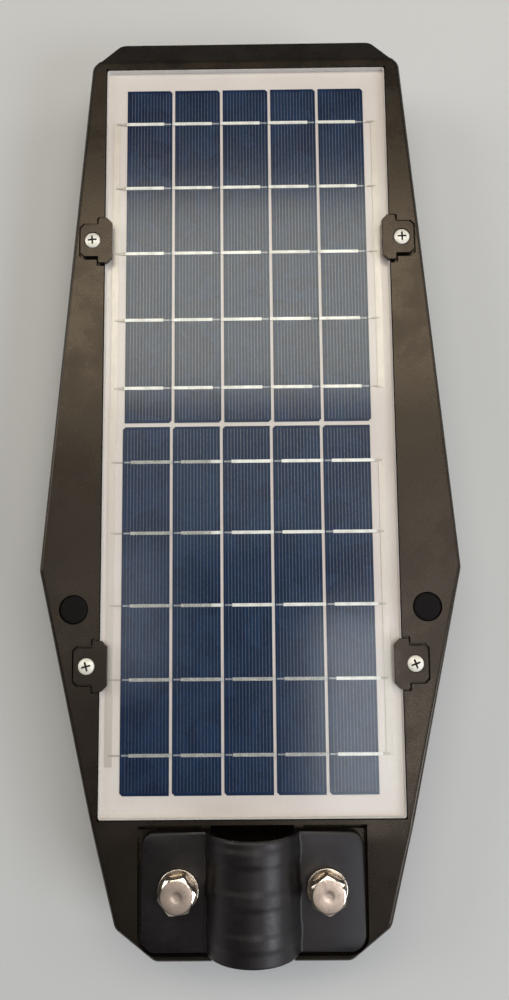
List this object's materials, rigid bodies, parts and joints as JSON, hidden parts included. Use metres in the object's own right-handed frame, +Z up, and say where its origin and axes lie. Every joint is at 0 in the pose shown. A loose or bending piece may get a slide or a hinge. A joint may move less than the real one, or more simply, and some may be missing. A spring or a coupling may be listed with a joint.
{
  "type": "solar street lamp",
  "caption": "All-in-one solar street lamp: black plastic housing with a solar panel on top, LED lenses and a motion sensor below, and a bolted clamp for a pole arm.",
  "frame": {"origin": "on the axis of the pole bore, in line with the two clamp bolts", "axes": "+Y from the pole to the far end of the lamp, +Z up through the solar panel, +X to the right seen from above with the pole nearest"},
  "size_m": [0.182, 0.408, 0.0581],
  "materials": {
    "housing_plastic": "black ABS with a fine moulded texture",
    "cover_plastic": "black ABS with a fine moulded texture",
    "clip_plastic": "black ABS, slightly smoother than the housing",
    "clamp_plastic": "satin black glass-filled plastic",
    "panel_glass": "clear polished front glass",
    "solar_cell": "blue polycrystalline silicon with fine printed fingers",
    "tinned_ribbon": "tinned copper ribbon",
    "backsheet": "off-white laminate backsheet",
    "foam_tape": "black closed-cell foam tape",
    "potting": "black terminal box filled with sealant",
    "screw_steel": "bright plated steel",
    "bolt_steel": "plain stainless steel, slightly worn",
    "plug_rubber": "soft black rubber",
    "seal_rubber": "grey silicone rubber",
    "led_board_white": "aluminium board with white solder mask",
    "led_phosphor": "yellow phosphor in a white package",
    "lens_clear": "clear polycarbonate lens",
    "dome_plastic": "milky polyethylene sensor lens",
    "pcb_green": "green solder mask",
    "component_black": "black moulded component bodies",
    "ferrite": "dark grey ferrite",
    "connector_ivory": "ivory nylon connector",
    "sensor_can": "plated metal can",
    "battery_sleeve": "blue shrink sleeve",
    "nickel": "spot-welded nickel strip",
    "strap_steel": "zinc-plated sheet steel",
    "switch_plastic": "black nylon switch body",
    "button_red": "red button",
    "lead_insulation": "silicone wire insulation"
  },
  "bodies": {
    "housing": {"top_housing": "housing_plastic", "bottom_housing": "cover_plastic", "housing_seal": "seal_rubber", "panel_glass": "panel_glass", "upper_cells": "solar_cell", "lower_cells": "solar_cell", "tabbing_ribbons": "tinned_ribbon", "bus_ribbons": "tinned_ribbon", "panel_backsheet": "backsheet", "panel_foam_tape": "foam_tape", "panel_terminal_box": "potting", "panel_clip_far_left": "clip_plastic", "panel_clip_far_right": "clip_plastic", "panel_clip_near_left": "clip_plastic", "panel_clip_near_right": "clip_plastic", "clip_screws": "screw_steel", "plug_left": "plug_rubber", "plug_right": "plug_rubber", "flank_screws": "screw_steel", "shell_screws": "screw_steel", "clamp_nuts": "bolt_steel", "led_board": "led_board_white", "led_chips": "led_phosphor", "lens_plate_near": "lens_clear", "lens_plate_far": "lens_clear", "lens_gasket_near": "seal_rubber", "lens_gasket_far": "seal_rubber", "led_board_screws": "screw_steel", "controller_board": "pcb_green", "power_inductor": "ferrite", "buffer_capacitors": "component_black", "controller_chips": "component_black", "wire_connectors": "connector_ivory", "controller_screws": "screw_steel", "pir_sensor": "sensor_can", "sensor_dome": "dome_plastic", "sensor_retainer": "seal_rubber", "light_pipes": "lens_clear", "battery_cell_left": "battery_sleeve", "battery_cell_middle": "battery_sleeve", "battery_cell_right": "battery_sleeve", "battery_tabs": "nickel", "battery_protection_board": "pcb_green", "battery_strap": "strap_steel", "strap_screws": "screw_steel", "switch_body": "switch_plastic", "switch_nut": "screw_steel", "switch_o_ring": "seal_rubber", "panel_lead": "lead_insulation", "battery_lead": "lead_insulation", "led_lead": "lead_insulation", "switch_lead": "lead_insulation"},
    "clamp_plate": {"clamp_plate": "clamp_plastic", "flat_washers": "bolt_steel", "spring_washers": "bolt_steel"},
    "clamp_bolt_left": {"clamp_bolt_left": "bolt_steel"},
    "clamp_bolt_right": {"clamp_bolt_right": "bolt_steel"},
    "switch_button": {"switch_button": "button_red"}
  },
  "joints": [
    {"name": "clamp_lift", "type": "slide", "parent": "housing", "child": "clamp_plate", "axis": [0, 0, 1], "range_m": [0, 0.005]},
    {"name": "bolt_left_turn", "type": "hinge", "parent": "clamp_plate", "child": "clamp_bolt_left", "pos_m": [-0.03075, 0, 0], "axis": [0, 0, 1], "range_deg": [0, 1440]},
    {"name": "bolt_right_turn", "type": "hinge", "parent": "clamp_plate", "child": "clamp_bolt_right", "pos_m": [0.03075, 0, 0], "axis": [0, 0, 1], "range_deg": [0, 1440]},
    {"name": "button_press", "type": "slide", "parent": "housing", "child": "switch_button", "axis": [0, 0, 1], "range_m": [0, 0.0015], "stiffness_N_per_m": 400}
  ],
  "couplings": [
    {"joint": "bolt_left_turn", "follows": "clamp_lift", "rad_per_m": 5026.5},
    {"joint": "bolt_right_turn", "follows": "clamp_lift", "rad_per_m": 5026.5}
  ]
}
